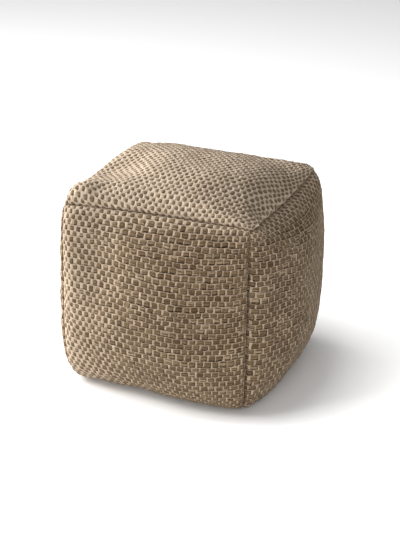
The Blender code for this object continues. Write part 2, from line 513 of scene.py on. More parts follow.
@dataclass(frozen=True)
class Filling:
    """The soft filling, which presses the sewn cover out between its seams in a simulation of its cloth.

    The form has the crown of each panel already, so only the folds are laid on it.
    """

    cells: int = 44  # how many cells of cloth lie along each panel
    frames: int = 20
    pressure: float = 4.0
    slack: float = 0.008  # how much more cloth there is than the form needs
    start_in: float = 0.003  # how far inside the form the cloth starts
    one_point: float = 1e-5  # cloth nearer together than this is sewn into one
    most: float = 0.006  # the furthest that a place may move
    mass: float = 0.3
    tension: float = 15.0
    bending: float = 0.5
    broad_knots: int = 7  # what is broader than a panel's width over this is not a fold

    def places(self) -> tuple[Array, Array]:
        """Return the places of the corners of a panel's cells, along it and up it."""
        level = np.linspace(-1.0, 1.0, self.cells + 1)
        return np.meshgrid(level, level, indexing="ij")

    def cover(self, form: Form) -> tuple[Object, Array]:
        """Return the whole cover as one closed sheet, with its seams and its base pinned.

        Args:
            form: The shape of the pouf.

        Returns:
            The cover, and the number of its point at each place of each panel.
        """
        a, b = self.places()
        inside = arch(a, INSIDE) * arch(b, INSIDE)
        points, pinned = [], []
        for panel in PanelName:
            held = (inside <= 0.0) | (panel is PanelName.BASE)
            inwards = (self.start_in * inside * ~held)[..., None]
            points.append((form.points(panel, a, b) - form.normals(panel, a, b) * inwards).reshape(-1, 3))
            pinned.append(held.ravel())
        points, pinned = np.concatenate(points), np.concatenate(pinned)
        near = np.round(points / self.one_point)
        _, first, number = np.unique(near, axis=0, return_index=True, return_inverse=True)
        number = number.reshape(len(PanelName), *a.shape)
        corners = (number[:, :-1, :-1], number[:, 1:, :-1], number[:, 1:, 1:], number[:, :-1, 1:])
        quads = np.stack(corners, axis=-1)
        quads[-1] = quads[-1][..., ::-1]
        mesh = bpy.data.meshes.new("filled_cover")
        mesh.from_pydata(points[first].tolist(), [], quads.reshape(-1, 4).tolist())
        cover = bpy.data.objects.new(mesh.name, mesh)
        bpy.context.scene.collection.objects.link(cover)
        seams = cover.vertex_groups.new(name="seams")
        seams.add(np.flatnonzero(pinned[first]).tolist(), 1.0, "REPLACE")
        return cover, number

    def press(self, cover: Object) -> Array:
        """Run the simulation, apply it, and return where the cover's points come to.

        Args:
            cover: The closed cover, with its seams pinned.

        Returns:
            The points.
        """
        cloth = cover.modifiers.new("filling", "CLOTH")
        settings = cloth.settings
        settings.quality = 5
        settings.mass = self.mass
        settings.tension_stiffness = settings.compression_stiffness = self.tension
        settings.bending_stiffness = self.bending
        settings.shrink_min = -self.slack
        settings.use_pressure = True
        settings.uniform_pressure_force = self.pressure
        settings.vertex_group_mass = "seams"
        settings.effector_weights.gravity = 0.0
        cloth.point_cache.frame_start, cloth.point_cache.frame_end = 1, self.frames
        for at in range(1, self.frames + 1):
            bpy.context.scene.frame_set(at)
        bpy.ops.object.select_all(action="DESELECT")
        cover.select_set(True)
        bpy.context.view_layer.objects.active = cover
        bpy.ops.object.modifier_apply(modifier=cloth.name)
        points = np.empty(len(cover.data.vertices) * 3, dtype=np.float32)
        cover.data.vertices.foreach_get("co", points)
        bpy.context.scene.frame_set(1)
        return points.reshape(-1, 3).astype(float)

    def settle(self, form: Form) -> None:
        """Press the cover out, and lay its folds on the form.

        Args:
            form: The shape of the pouf.
        """
        cover, number = self.cover(form)
        pressed = self.press(cover)
        log.info("filling: %d points of cloth pressed out", len(pressed))
        bpy.data.objects.remove(cover)
        a, b = self.places()
        weights = spline_weights(np.linspace(0.0, 1.0, self.cells + 1), self.broad_knots)
        smooth = weights @ np.linalg.pinv(weights)
        folds = {}
        for panel, numbers in zip(PanelName, number):
            move = pressed[numbers] - form.points(panel, a, b)
            size = np.linalg.norm(move, axis=-1, keepdims=True)
            move = move * self.most / np.maximum(size, self.most)
            folds[panel] = move - np.einsum("ij,jkc,lk->ilc", smooth, move, smooth)
        form.folds = folds


@dataclass(frozen=True)
class Lay:
    """How the cloth of one panel lies: the size and the run of its yarns."""

    seed: int
    warp_pitch: float = 0.0075
    row_pitch: float = 0.0103
    net: Curve = ((-1.0, 0.0), (1.0, 0.0))  # place, 0 for bricks to 1 for dots
    bars: Curve = ((-1.0, 0.24), (1.0, 0.24))  # place, half a bar's width in warps
    lean: float = 0.0  # how far the warp drifts aside for each metre up the panel
    spread: Curve = ((-1.0, 1.0), (1.0, 1.0))  # place along, share of the pitch
    stack: Curve = ((-1.0, 1.0), (1.0, 1.0))  # place up, share of the row pitch
    climb: Curve = ((-1.0, 0.0), (1.0, 0.0))  # place along, slope of the rows
    fan: float = 0.0  # how much further apart the rows are at one end of the panel than in its middle
    points_per_warp: int = 6
    points_per_row: int = 6
    uneven_warp: float = 0.06
    uneven_row: float = 0.16
    waver_across: float = 0.0010
    waves_across: tuple[int, int] = (6, 8)  # how many waves there are up the panel and along it
    waver_up: float = 0.0016
    waves_up: tuple[int, int] = (9, 7)
    wander_across: float = 0.0008  # how far each yarn strays on its own
    wander_up: float = 0.0013


@dataclass(frozen=True)
class Relief:
    """The height of the yarns over the cloth, in metres."""

    brick: float = 0.0014
    bar: float = 0.0014
    line: float = 0.0005
    uneven: float = 0.30
    corners: Pair = (5.0, 2.7)  # the power that rounds a brick, and how much less for a dot
    bar_room: float = 0.8  # the share of a bar's width that the bricks beside it leave free
    bar_edge: float = 0.06
    bar_ends: float = 0.45  # how high a bar still is at its ends
    line_width: float = 0.11
    repeat: int = 256  # how many bricks pass before their unevenness comes again

    def height(self, warp: Array, row: Array, bars: Array, net: Array, rng: np.random.Generator) -> Array:
        """Return how far the yarns stand above the cloth.

        Args:
            warp: Places across the cloth, in warp pitches.
            row: Places up the cloth, in rows.
            bars: Half the width of a warp bar, in warp pitches.
            net: How far the weft shows as dots in a net, from 0 to 1.
            rng: The source of the yarns' unevenness.

        Returns:
            The height at each place.
        """
        index = np.floor(row)
        up = row - index
        pair = (warp + index) / 2
        bar = np.round(pair)
        off = np.abs(pair - bar) * 2
        table = rng.uniform(-1, 1, (2, self.repeat, self.repeat))
        column, line = bar.astype(int) % self.repeat, index.astype(int) % self.repeat
        brick_column = np.floor(pair).astype(int) % self.repeat
        most, less = self.corners
        power = most - less * net
        across, tall = (1.0 - off) / (1.0 - bars * self.bar_room), np.abs(up - 0.5) * 2
        from_middle = across**power + tall**power
        brick = self.brick * np.sqrt(np.clip(1.0 - from_middle ** (2 / power), 0.0, 1.0))
        brick = brick * (1 + self.uneven * table[0, line, brick_column])
        along = self.bar_ends + (1.0 - self.bar_ends) * np.sin(np.pi * up)
        ridge = self.bar * np.exp(-((off / (bars + self.bar_edge)) ** 2)) * along
        ridge = ridge * (1 + self.uneven * table[1, line, column])
        seam = self.line * np.exp(-((np.minimum(up, 1 - up) / self.line_width) ** 2))
        return np.maximum(np.maximum(brick, ridge), seam)


class Value:
    """A number in a shader, so that the shader's sums are written as sums."""

    def __init__(self, tree: NodeTree, socket: NodeSocket) -> None:
        """Wrap a socket of a node tree."""
        self.tree = tree
        self.socket = socket

    def sum(self, operation: str, *others: "Value | float", swapped: bool = False) -> "Value":
        """Return the result of one Math node.

        Args:
            operation: What the node does.
            others: What it takes besides this.
            swapped: Whether the others come first.

        Returns:
            The result.
        """
        node = self.tree.nodes.new("ShaderNodeMath")
        node.operation = operation
        for slot, operand in zip(node.inputs, (*others, self) if swapped else (self, *others)):
            if isinstance(operand, Value):
                self.tree.links.new(operand.socket, slot)
            else:
                slot.default_value = operand
        return Value(self.tree, node.outputs[0])

    __add__ = __radd__ = partialmethod(sum, "ADD")
    __sub__ = partialmethod(sum, "SUBTRACT")
    __rsub__ = partialmethod(sum, "SUBTRACT", swapped=True)
    __mul__ = __rmul__ = partialmethod(sum, "MULTIPLY")
    __truediv__ = partialmethod(sum, "DIVIDE")
    __rtruediv__ = partialmethod(sum, "DIVIDE", swapped=True)
    __pow__ = partialmethod(sum, "POWER")
    floor = partialmethod(sum, "FLOOR")
    fract = partialmethod(sum, "FRACT")
    size = partialmethod(sum, "ABSOLUTE")  # the number without its sign


class Draw(Enum):
    """The random numbers that each brick, bar or strand of the weave has of its own."""

    STRAND = 1.0
    BAR = 3.0
    BROWN = 7.0
    HOLLOW = 13.0
    BESIDE = 17.0
    ABOVE = 19.0
    SIZE = 23.0
    LEVEL = 29.0
    BODY = 37.0


@dataclass(frozen=True)
class Grain:
    """Soft noise in the cloth, with its pace along the warp and up the rows."""

    warp: float
    row: float
    layer: float
    scale: float
    detail: float
    patches: Pair = (0.0, 1.0)  # where its patches begin, and where they are whole
    roughness: float = 0.55


class ShaderTree:
    """A material's node tree, with the few nodes that cloth needs."""

    def __init__(self, material: Material) -> None:
        """Take over a material's node tree."""
        self.tree = material.node_tree

    def node(self, kind: str, settings: dict, values: dict) -> Node:
        """Add a node.

        Args:
            kind: The node's type.
            settings: Its properties, which are set first.
            values: What goes into its inputs: numbers, colours or links.

        Returns:
            The new node.
        """
        node = self.tree.nodes.new(kind)
        for name, setting in settings.items():
            setattr(node, name, setting)
        for name, value in values.items():
            if isinstance(value, Value):
                self.tree.links.new(value.socket, node.inputs[name])
            else:
                node.inputs[name].default_value = value
        return node

    def value(self, node: Node, output: int | str) -> Value:
        """Return one output of a node."""
        return Value(self.tree, node.outputs[output])

    def attribute(self, name: str, output: str) -> Value:
        """Return an attribute of the mesh."""
        return self.value(self.node("ShaderNodeAttribute", {"attribute_name": name}, {}), output)

    def vector(self, x: Value, y: Value, z: float) -> Value:
        """Return a vector of three numbers."""
        return self.value(self.node("ShaderNodeCombineXYZ", {}, {0: x, 1: y, 2: z}), 0)

    def step(self, value: Value, low: Value | float, high: Value | float) -> Value:
        """Return a smooth step from 0 at low to 1 at high."""
        inputs = {"Value": value, "From Min": low, "From Max": high}
        return self.value(self.node("ShaderNodeMapRange", {"interpolation_type": "SMOOTHSTEP"}, inputs), 0)

    def dice(self, x: Value, y: Value, draw: Draw) -> Value:
        """Return a random number of its own for each cell."""
        inputs = {"Vector": self.vector(x, y, draw.value)}
        return self.value(self.node("ShaderNodeTexWhiteNoise", {"noise_dimensions": "3D"}, inputs), 0)

    def noise(self, grain: Grain, warp: Value, row: Value) -> Value:
        """Add soft noise.

        Args:
            grain: How fine the noise is.
            warp: Places across the cloth.
            row: Places up it.

        Returns:
            A number of about 0 to 1.
        """
        inputs = {
            "Vector": self.vector(warp * grain.warp, row * grain.row, grain.layer),
            "Scale": grain.scale,
            "Detail": grain.detail,
            "Roughness": grain.roughness,
        }
        return self.value(self.node("ShaderNodeTexNoise", {"noise_dimensions": "3D"}, inputs), 0)

    def stray(self, grain: Grain, warp: Value, row: Value) -> Value:
        """Return soft noise of about -0.5 to 0.5."""
        return self.noise(grain, warp, row) - 0.5

    def patches(self, grain: Grain, warp: Value, row: Value) -> Value:
        """Return soft-edged patches, from 0 to 1."""
        return self.step(self.noise(grain, warp, row), *grain.patches)

    def mix(self, share: Value, first: Value | tuple, second: Value | tuple, blend: str = "MIX") -> Value:
        """Mix two colours.

        Args:
            share: How much of the second there is.
            first: A colour.
            second: Another.
            blend: How they are mixed.

        Returns:
            The colour.
        """
        settings = {"data_type": "RGBA", "blend_type": blend}
        inputs = {"Factor": share, 6: first, 7: second}
        return self.value(self.node("ShaderNodeMix", settings, inputs), 2)


def colour(red: float, green: float, blue: float) -> tuple[float, float, float, float]:
    """Return a linear colour with its alpha."""
    return (red, green, blue, 1.0)


class Weave:
    """Where a place lies in the weave, as values of the shader: in warps along the rows, and in rows."""

    def __init__(self, tree: ShaderTree, cloth: "WovenCloth") -> None:
        """Read the run of the yarns from the mesh, and make it uneven.

        Args:
            tree: The node tree of the cloth's material.
            cloth: The cloth.
        """
        self.tree = tree
        split = tree.node("ShaderNodeSeparateXYZ", {}, {0: tree.attribute("yarn", "Vector")})
        warp, row, self.bars = (tree.value(split, index) for index in range(3))
        self.net = tree.attribute("net", "Fac")
        self.ragged = tree.stray(cloth.ragged, warp, row)
        self.frayed = tree.stray(cloth.frayed, warp, row)
        self.warp = warp + tree.stray(cloth.sway, warp, row) * cloth.sways
        self.row = row + tree.stray(cloth.drift, self.warp + cloth.drift_apart, row) * cloth.drifts
        self.index = self.row.floor()
        self.up = self.row - self.index
        pair = (self.warp + self.index) * 0.5
        self.bar, self.brick = (pair + 0.5).floor(), pair.floor()
        self.off_bar = (pair - self.bar).size() * 2.0
        # from the middle of the brick, -1 to 1 along the row and up it
        self.beside = (pair - self.brick) * 2.0 - 1.0 + (self.dice(Draw.BESIDE) - 0.5) * cloth.brick_shift
        self.above = self.up * 2.0 - 1.0 + (self.dice(Draw.ABOVE) - 0.5) * cloth.brick_shift
        self.fibres_along = tree.noise(cloth.fibres_along, self.warp, self.row)
        self.fibres_up = tree.noise(cloth.fibres_up, self.warp, self.row)

    def dice(self, draw: Draw) -> Value:
        """Return a random number of its own for each brick."""
        return self.tree.dice(self.brick, self.index, draw)


def between(bounds: Pair, share: Value) -> Value:
    """Return the least of something, with a share of how much more it may be."""
    least, more = bounds
    return least + more * share


@dataclass(frozen=True)
class WovenCloth:
    """The finish of the cover: pale warp bars and thin pale lines round floats of brown, stranded weft."""

    name: str = "woven_cover"
    pale: tuple = colour(0.48, 0.372, 0.268)
    pale_dim: tuple = colour(0.285, 0.212, 0.140)
    # a lighter, lit copy of the pale yarn where the weave shows as a net: painted light on the top, the left
    # of the front and the band below the top seam
    pale_net_lit: tuple = colour(0.62, 0.506, 0.392)
    brown: tuple = colour(0.158, 0.103, 0.056)
    brown_deep: tuple = colour(0.095, 0.060, 0.030)
    olive: tuple = colour(0.150, 0.107, 0.055)
    glint: tuple = colour(0.385, 0.292, 0.200)
    shade: tuple = colour(0.10, 0.060, 0.030)
    dull: tuple = colour(0.55, 0.49, 0.42)
    bright: tuple = colour(0.74, 0.61, 0.46)
    # the noises: pace along the warp and up the rows, layer, scale, detail, and the edge of the patches
    ragged: Grain = Grain(1.0, 1.35, 0.0, 1.9, 2.0)
    frayed: Grain = Grain(1.0, 1.35, 0.0, 6.0, 2.0)
    sway: Grain = Grain(1.0, 1.35, 0.0, 0.9, 1.0)
    drift: Grain = Grain(1.0, 1.35, 7.0, 0.9, 1.0)
    fibres_along: Grain = Grain(1.2, 8.0, 0.0, 2.2, 3.0, (0.42, 0.70))
    fibres_up: Grain = Grain(7.0, 1.2, 3.0, 2.0, 3.0, (0.42, 0.68))
    held_lines: Grain = Grain(0.5, 3.1, 5.0, 1.0, 1.0, (0.38, 0.62))
    held_shadow_dashes: Grain = Grain(0.55, 5.3, 4.0, 1.0, 1.0, (0.40, 0.56))
    row_tones: Grain = Grain(0.11, 3.7, 2.0, 1.0, 2.0, (0.45, 0.72))
    warp_tones: Grain = Grain(2.3, 0.13, 9.0, 1.0, 2.0, (0.40, 0.65))
    bright_patches: Grain = Grain(1.1, 1.6, 33.0, 1.6, 2.0, (0.52, 0.72))
    dark_patches: Grain = Grain(0.16, 0.20, 21.0, 1.0, 2.0, (0.35, 0.68))
    # the shape of the bricks, in warps along the row and in rows up it
    sways: float = 0.30
    drifts: float = 0.36
    drift_apart: float = 31.0  # keeps the drift of the rows unlike the sway of the warps
    brick_shift: float = 0.16
    brick_size: Pair = (0.90, 0.20)
    brick_height: float = 0.90
    corners: Pair = (6.0, 3.6)  # the power that rounds a brick, and how much less for a dot
    brick_edge: Pair = (0.86, 1.08)
    edge_ragged: float = 0.28
    edge_frayed: float = 0.20
    # the painted shadow that falls below and aside of each brick: it darkens the colour there and lowers the
    # bump
    hollow_shadow_off: Pair = (0.16, 0.26)  # how far aside of its brick the painted shadow lies, and below
    hollow_shadow_edge: Pair = (0.78, 1.05)
    hollow_shadow_ragged: float = 0.4
    hollow_shadow_depth: Pair = (0.45, 0.50)
    line_dim: float = 0.45
    line_edge: float = 0.25
    strands: float = 2.0  # in each row
    strand_ragged: float = 0.6
    strand_apart: float = 5.0  # keeps the strands of two rows unlike
    # the gaps between the strands, which are painted darker as shade and stand lower in the bump
    gap: Pair = (0.50, 0.98)
    gap_shade_depth: Pair = (0.35, 0.50)
    # the painted shadow along the foot of each row of bricks, where their undersides are in shade; it also
    # lowers the bump
    shadow_dash_height: float = 0.12
    shadow_dash_edge: Pair = (0.03, 0.13)
    # the colours' shares
    strand_glint: Pair = (0.76, 0.98)
    strand_glint_share: float = 0.60
    fibre_share: float = 0.45
    body_edge: Pair = (0.62, 1.0)
    body_share: float = 0.60
    net_glint: float = 0.16
    net_lit_pale: float = 0.75
    net_shadow_dash: float = 0.6
    bar_tones: Pair = (0.6, 0.4)  # each bar's own, and the whole yarn's
    bright_share: float = 0.45
    shadow_dash_share: float = 0.88
    dark_patch_share: float = 0.30
    surface: tuple[tuple[str, float | tuple], ...] = (
        ("Roughness", 0.92),
        ("Specular IOR Level", 0.08),
        ("Sheen Weight", 0.12),
        ("Sheen Roughness", 0.40),
        ("Sheen Tint", colour(1.0, 0.86, 0.70)),
    )
    bump_height: float = 0.0006
    bump_strength: float = 0.8
    # how much the pale yarns, the strands, the fibres, the hollows and the dashes raise the bump
    heights: tuple[float, ...] = (0.45, 0.30, 0.25, -0.35, -0.3)

    def reach(self, weave: Weave, aside: float, below: float, size: Value) -> Value:
        """Return how far out in its rounded brick a place is.

        Args:
            weave: Where the place lies in the weave.
            aside: How far the brick is taken to lie aside.
            below: How far the brick is taken to lie below.
            size: The share of the row's length between the bars that the brick takes up.

        Returns:
            0 in the middle of the brick and 1 at its edge.
        """
        most, less = self.corners
        power = most - weave.net * less
        along = (weave.beside + aside).size() / ((1.0 - weave.bars) * size)
        tall = (weave.above - below).size() / self.brick_height
        return (along**power + tall**power) ** (1.0 / power)

    def pale_share(self, weave: Weave, size: Value) -> Value:
        """Find how much of the pale yarns shows.

        Args:
            weave: Where the place lies in the weave.
            size: The brick's share of its room.

        Returns:
            A number from 0 to 1.
        """
        tree = weave.tree
        edge = self.reach(weave, 0.0, 0.0, size)
        edge = edge + weave.ragged * self.edge_ragged + weave.frayed * self.edge_frayed
        in_line = tree.step(weave.off_bar, weave.bars, weave.bars + self.line_edge) * (1.0 - weave.net)
        held = tree.patches(self.held_lines, weave.warp, (weave.row + 0.5).floor())
        return tree.step(edge, *self.brick_edge) * (1.0 - in_line * (self.line_dim - self.line_dim * held))

    def hollow_shadow(self, weave: Weave, size: Value) -> Value:
        """Find how deep a place lies in the painted shadow that falls below and aside of its brick, which
        also lowers the bump there.

        Args:
            weave: Where the place lies in the weave.
            size: The brick's share of its room.

        Returns:
            A number from 0 to 1.
        """
        cast = self.reach(weave, *self.hollow_shadow_off, size) + weave.ragged * self.hollow_shadow_ragged
        depth = between(self.hollow_shadow_depth, weave.dice(Draw.HOLLOW))
        return weave.tree.step(cast, *self.hollow_shadow_edge) * depth

    def brown_yarn(self, weave: Weave, hollow_shadow: Value) -> tuple[Value, Value]:
        """Colour the weft, with painted shade between its strands and painted shadow below its bricks.

        Args:
            weave: Where the place lies in the weave.
            hollow_shadow: How deep the place lies in the painted shadow below its brick.

        Returns:
            The colour, and how far the place lies between two strands.
        """
        tree, mix = weave.tree, weave.tree.mix
        brown = mix(weave.dice(Draw.BROWN), self.brown, self.brown_deep)
        brown = mix(tree.patches(self.row_tones, weave.warp, weave.index), brown, self.olive)
        level = weave.up * self.strands + weave.ragged * self.strand_ragged + weave.dice(Draw.LEVEL)
        gap = tree.step((level.fract() - 0.5).size() * 2.0, *self.gap)
        strand = tree.dice(weave.brick, level.floor() + weave.index * self.strand_apart, Draw.STRAND)
        glinting = tree.step(strand, *self.strand_glint) * (1.0 - gap) * self.strand_glint_share
        brown = mix(glinting, brown, self.glint)
        fibres = tree.step(weave.fibres_along, *self.fibres_along.patches)
        brown = mix(fibres * self.fibre_share, brown, self.glint)
        # painted shade in the gaps between the strands
        brown = mix(gap * between(self.gap_shade_depth, strand), brown, self.shade, "MULTIPLY")
        # painted shadow below and aside of the brick
        brown = mix(hollow_shadow, brown, self.shade, "MULTIPLY")
        body = tree.step(weave.dice(Draw.BODY), *self.body_edge)
        brown = mix(body * self.body_share, brown, self.dull, "MULTIPLY")
        return mix(weave.net * self.net_glint, brown, self.glint), gap

    def pale_yarn(self, weave: Weave) -> Value:
        """Colour the warp and the pale lines.

        Args:
            weave: Where the place lies in the weave.

        Returns:
            The colour.
        """
        tree, mix = weave.tree, weave.tree.mix
        own, whole = self.bar_tones
        tones = tree.patches(self.warp_tones, (weave.warp + 0.5).floor(), weave.row)
        tones = tree.dice(weave.bar, weave.index, Draw.BAR) * own + tones * whole
        pale = mix(tones, self.pale, self.pale_dim)
        # painted light: where the weave shows as a net the pale yarn takes its lighter, lit copy
        pale = mix(weave.net * self.net_lit_pale, pale, self.pale_net_lit)
        fibres = tree.step(weave.fibres_up, *self.fibres_up.patches)
        pale = mix(fibres * self.fibre_share, pale, self.shade, "MULTIPLY")
        bright = tree.patches(self.bright_patches, weave.warp, weave.row)
        return mix(bright * self.bright_share, pale, self.bright)

    def material(self) -> Material:
        """Build the cloth's material.

        Returns:
            The material, which reads the run of the yarns from the mesh.
        """
        material = bpy.data.materials.new(self.name)
        material.use_nodes = True
        tree = ShaderTree(material)
        weave = Weave(tree, self)
        size = between(self.brick_size, weave.dice(Draw.SIZE))
        light, hollow_shadow = self.pale_share(weave, size), self.hollow_shadow(weave, size)
        brown, gap = self.brown_yarn(weave, hollow_shadow)
        # painted shadow along the foot of each row of bricks
        held = tree.patches(self.held_shadow_dashes, weave.warp, weave.index)
        shadow_dash = (1.0 - tree.step((weave.up - self.shadow_dash_height).size(), *self.shadow_dash_edge)) * held
        shadow_dash = shadow_dash * (1.0 - weave.net * self.net_shadow_dash)
        skin = tree.mix(light, brown, self.pale_yarn(weave))
        skin = tree.mix(shadow_dash * self.shadow_dash_share, skin, self.shade, "MULTIPLY")
        # soft darker patches at random over the cloth
        dark_patch = tree.patches(self.dark_patches, weave.warp, weave.row)
        skin = tree.mix(dark_patch * self.dark_patch_share, skin, self.dull, "MULTIPLY")
        parts = (light, 1.0 - gap, weave.fibres_along + weave.fibres_up, hollow_shadow, shadow_dash)
        height = sum(part * share for part, share in zip(parts, self.heights))
        inputs = {"Height": height, "Distance": self.bump_height, "Strength": self.bump_strength}
        bump = tree.node("ShaderNodeBump", {}, inputs)
        shader = material.node_tree.nodes["Principled BSDF"]
        material.node_tree.links.new(skin.socket, shader.inputs["Base Color"])
        material.node_tree.links.new(bump.outputs[0], shader.inputs["Normal"])
        for name, value in self.surface:
            shader.inputs[name].default_value = value
        return material


@dataclass
class Panel:
    """One cut panel of the cover, its cloth laid over the form and trimmed at the seams."""

    name: PanelName
    lay: Lay
    relief: Relief = field(default_factory=Relief)
    lit_hem_reach: float = 0.010  # how far below the top seam the bars widen and the bricks pass into dots: a raised band that is also painted paler, as light catches it
    lit_hem_bars: float = 0.22  # how much wider the bars are there
    lit_hem_net: float = 0.8  # how far the bricks pass into dots there
    past_seams: float = 0.012  # how far the warp is laid on past the upright seams, before it is trimmed
    past_ends: float = 0.035
    yarns_apart: float = 40.0  # keeps the yarns of two panels unlike
    draws_apart: int = 100  # keeps the draws of the relief unlike those of the lay
    fill: float = 0.85

    def arc(self, form: Form, along: bool) -> tuple[Array, Array]:
        """Return places of the panel, and how far along the cloth each lies from the middle.

        Args:
            form: The shape of the pouf.
            along: Whether they run along the panel, and not up it.

        Returns:
            The places, which run on past the seams, and the distances.
        """
        samples, beyond = 401, 0.3
        places = np.linspace(-1.0, 1.0, samples)
        level = np.zeros_like(places)
        line = form.points(self.name, places, level) if along else form.points(self.name, level, places)
        run = np.concatenate([[0.0], np.cumsum(np.linalg.norm(np.diff(line, axis=0), axis=1))])
        run = run - np.interp(0.0, places, run)
        per_place = (run[-1] - run[0]) / 2
        places = np.concatenate([[-1.0 - beyond], places, [1.0 + beyond]])
        run = np.concatenate([[run[0] - beyond * per_place], run, [run[-1] + beyond * per_place]])
        return places, run

    def lay_cloth(self, form: Form) -> tuple[Array, Array, Array, Array]:
        """Return the yarn grid of the panel.

        Args:
            form: The shape of the pouf.

        Returns:
            The warp and row numbers of each point of the grid, and the places where it lies.
        """
        lay = self.lay
        rng = np.random.default_rng(lay.seed)
        places_a, run_a = self.arc(form, True)
        places_b, run_b = self.arc(form, False)
        half_a, half_b = run_a[-2], run_b[-2]
        margin = self.past_seams + abs(lay.lean) * half_b
        across, up = [run_a[1] - margin], [run_b[1] - self.past_ends]
        spread_at, spread = np.array(lay.spread).T
        stack_at, stack = np.array(lay.stack).T
        while across[-1] < half_a + margin:
            place = np.interp(across[-1], run_a, places_a)
            pitch = lay.warp_pitch * np.interp(place, spread_at, spread)
            across.append(across[-1] + pitch * (1 + lay.uneven_warp * rng.uniform(-1, 1)))
        while up[-1] < half_b + self.past_ends:
            pitch = lay.row_pitch * np.interp(np.interp(up[-1], run_b, places_b), stack_at, stack)
            up.append(up[-1] + pitch * (1 + lay.uneven_row * rng.uniform(-1, 1)))
        warps, rows = len(across) - 1, len(up) - 1
        warp = np.arange(warps * lay.points_per_warp + 1) / lay.points_per_warp
        row = np.arange(rows * lay.points_per_row + 1) / lay.points_per_row
        across = np.interp(warp, np.arange(len(across)), across)
        up = np.interp(row, np.arange(len(up)), up)
        climb_at, climb = np.array(lay.climb).T
        slope = np.interp(np.interp(across, run_a, places_a), climb_at, climb)
        climbed = np.concatenate([[0.0], np.cumsum((slope[1:] + slope[:-1]) / 2 * np.diff(across))])
        climbed = climbed - np.interp(0.0, across, climbed)
        shape = (len(row), len(warp))
        fanned = up[:, None] * (1.0 + lay.fan * across[None, :] / half_a)
        laid_up = fanned + climbed[None, :] + lay.waver_up * waver(rng, shape, lay.waves_up)
        laid_across = across[None, :] + lay.lean * up[:, None]
        laid_across = laid_across + lay.waver_across * waver(rng, shape, lay.waves_across)
        laid_up = laid_up + lay.wander_up * waver(rng, shape, (rows + 1, warps // 2 + 1))
        laid_across = laid_across + lay.wander_across * waver(rng, shape, (rows + 1, warps + 1))
        a = np.interp(laid_across, run_a, places_a)
        b = np.interp(laid_up, run_b, places_b)
        return np.broadcast_to(warp, shape), np.broadcast_to(row[:, None], shape), a, b

    def build(self, form: Form, material: Material) -> Object:
        """Return the panel as a mesh with real yarn relief.

        Args:
            form: The shape of the pouf.
            material: The cloth.

        Returns:
            The panel, riding on the pouf's body.
        """
        warp, row, a, b = self.lay_cloth(form)
        inside = (np.abs(a) < 1.0) & (np.abs(b) < 1.0)
        trimmed_a, trimmed_b = np.clip(a, -1.0, 1.0), np.clip(b, -1.0, 1.0)
        warp = warp - (a - trimmed_a) * np.gradient(warp, axis=1) / np.gradient(a, axis=1)
        row = row - (b - trimmed_b) * np.gradient(row, axis=0) / np.gradient(b, axis=0)
        points = form.points(self.name, trimmed_a, trimmed_b)
        facing = form.normals(self.name, trimmed_a, trimmed_b)
        rng = np.random.default_rng(self.lay.seed + self.draws_apart)
        bars = np.interp(trimmed_a, *np.array(self.lay.bars).T)
        net = np.interp(trimmed_a, *np.array(self.lay.net).T)
        if self.name in SIDES:
            # below the top seam the relief is raised into wider bars and dots, and the band is painted paler
            # where it catches the light
            from_top = (1.0 - trimmed_b) * form.shape.top_seam_height / 2
            lit_hem = np.exp(-((from_top / self.lit_hem_reach) ** 2))
            bars, net = bars + self.lit_hem_bars * lit_hem, net + (1.0 - net) * self.lit_hem_net * lit_hem
        height = self.relief.height(warp, row, bars, net, rng)
        points = points + facing * height[..., None]
        points[..., 2] = np.maximum(points[..., 2], 0.0)
        kept = inside[:-1, :-1] | inside[1:, :-1] | inside[:-1, 1:] | inside[1:, 1:]
        number = np.arange(a.size).reshape(a.shape)
        corners = [number[:-1, :-1], number[:-1, 1:], number[1:, 1:], number[1:, :-1]]
        if self.name is PanelName.BASE:
            corners.reverse()
        quads = np.stack([corner[kept] for corner in corners], axis=-1)
        used, quads = np.unique(quads, return_inverse=True)
        quads = quads.reshape(-1, 4)
        mesh = bpy.data.meshes.new(f"{self.name.value}_panel")
        mesh.from_pydata(points.reshape(-1, 3)[used].tolist(), [], quads.tolist())
        mesh.validate()
        yarn = mesh.attributes.new("yarn", "FLOAT_VECTOR", "POINT")
        apart = self.yarns_apart * (1 + list(PanelName).index(self.name))
        values = np.stack([warp.ravel() + apart, row.ravel(), bars.ravel()], axis=-1)[used]
        yarn.data.foreach_set("vector", values.astype(np.float32).ravel())
        dots = mesh.attributes.new("net", "FLOAT", "POINT")
        dots.data.foreach_set("value", net.ravel()[used].astype(np.float32))
        mesh.shade_smooth()
        mesh.materials.append(material)
        panel = bpy.data.objects.new(mesh.name, mesh)
        bpy.context.scene.collection.objects.link(panel)
        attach(panel, "root")
        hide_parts("pouf_body")
        log.info("%s: %d quads", mesh.name, len(quads))
        return panel


class Lit(Enum):
    """What a lamp shines on: a product studio lights its sweep apart from the thing on it."""

    POUF = "pouf"
    FLOOR = "floor"


@dataclass(frozen=True)
class Lamp:
    """A soft lamp of the studio."""

    name: str
    place: Place
    size: Pair
    power: float
    lit: Lit


